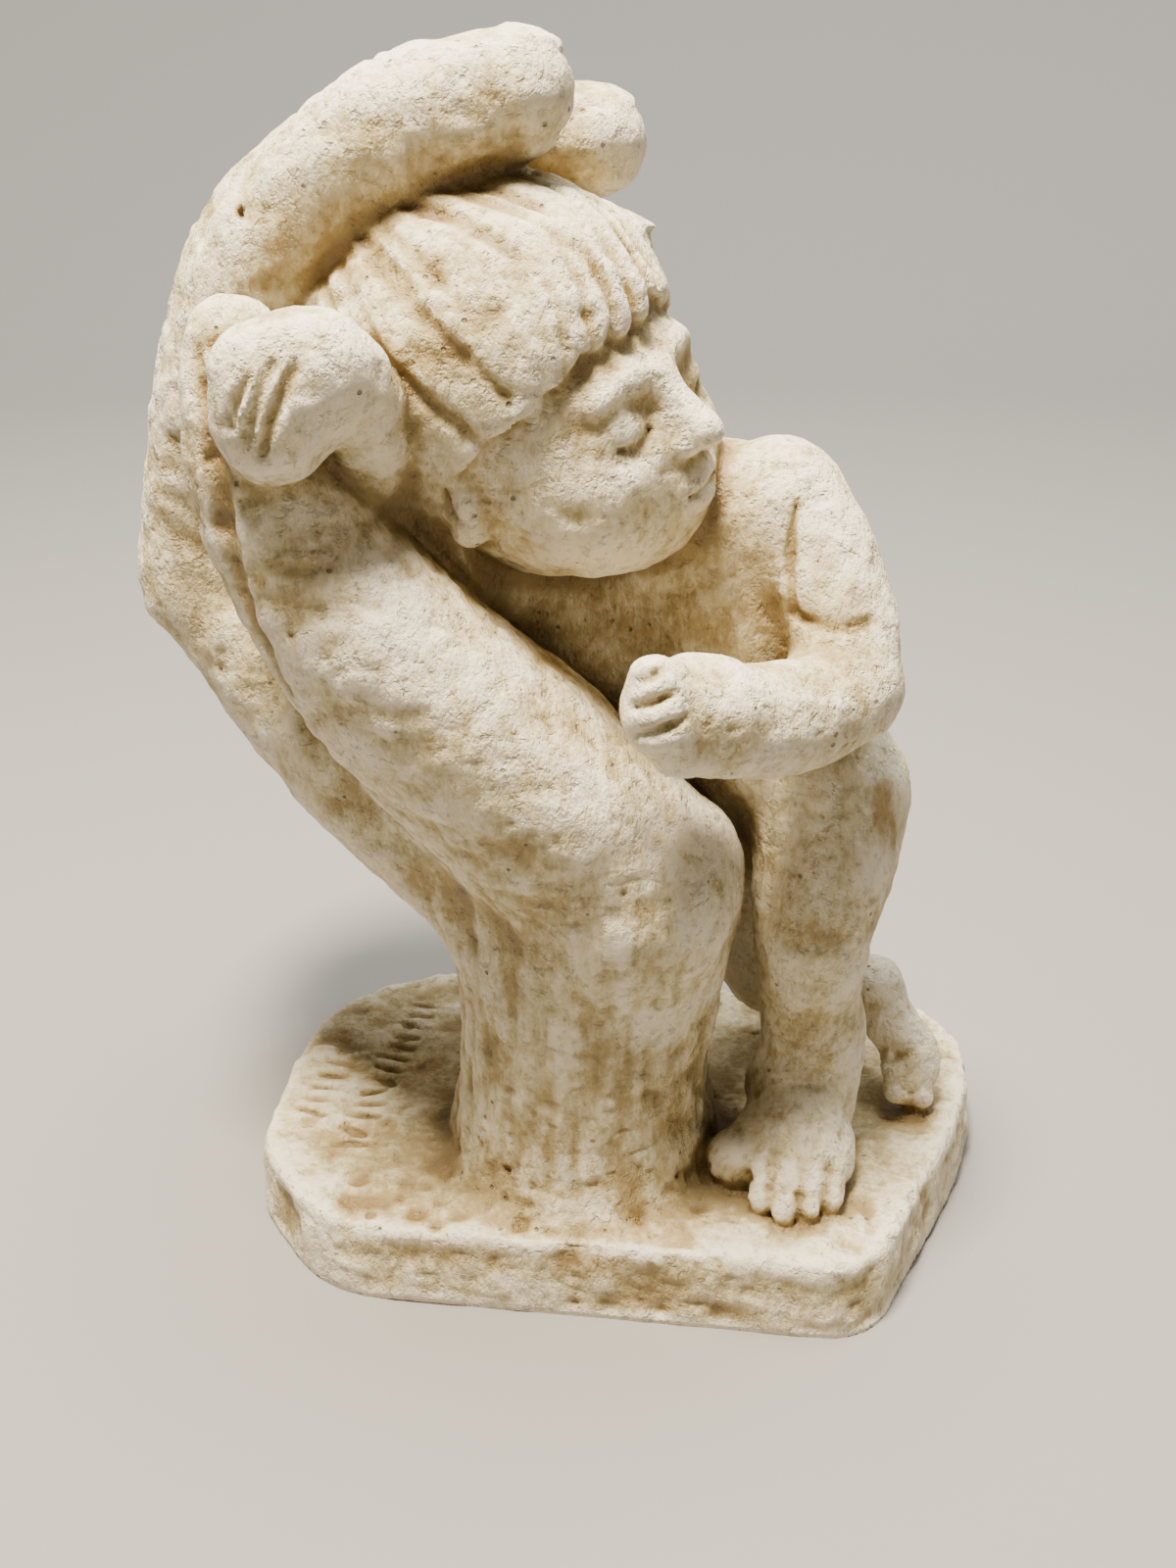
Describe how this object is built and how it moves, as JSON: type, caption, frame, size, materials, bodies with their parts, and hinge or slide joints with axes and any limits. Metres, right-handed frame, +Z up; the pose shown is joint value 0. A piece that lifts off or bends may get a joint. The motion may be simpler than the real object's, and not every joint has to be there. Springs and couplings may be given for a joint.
{
  "type": "plaster figurine",
  "caption": "Cast plaster ornament of a small child asleep standing against a great upright open hand that rises from a low plinth, with an antiqued off-white finish.",
  "frame": {"origin": "centre of the plinth's flat underside", "axes": "+Z up, +X along the plinth's length towards the child's face, -Y towards the thumb side of the great hand"},
  "size_m": [0.1942, 0.1223, 0.242],
  "materials": {
    "plaster": "matte"
  },
  "bodies": {
    "root": {"figurine": "plaster"}
  },
  "joints": []
}
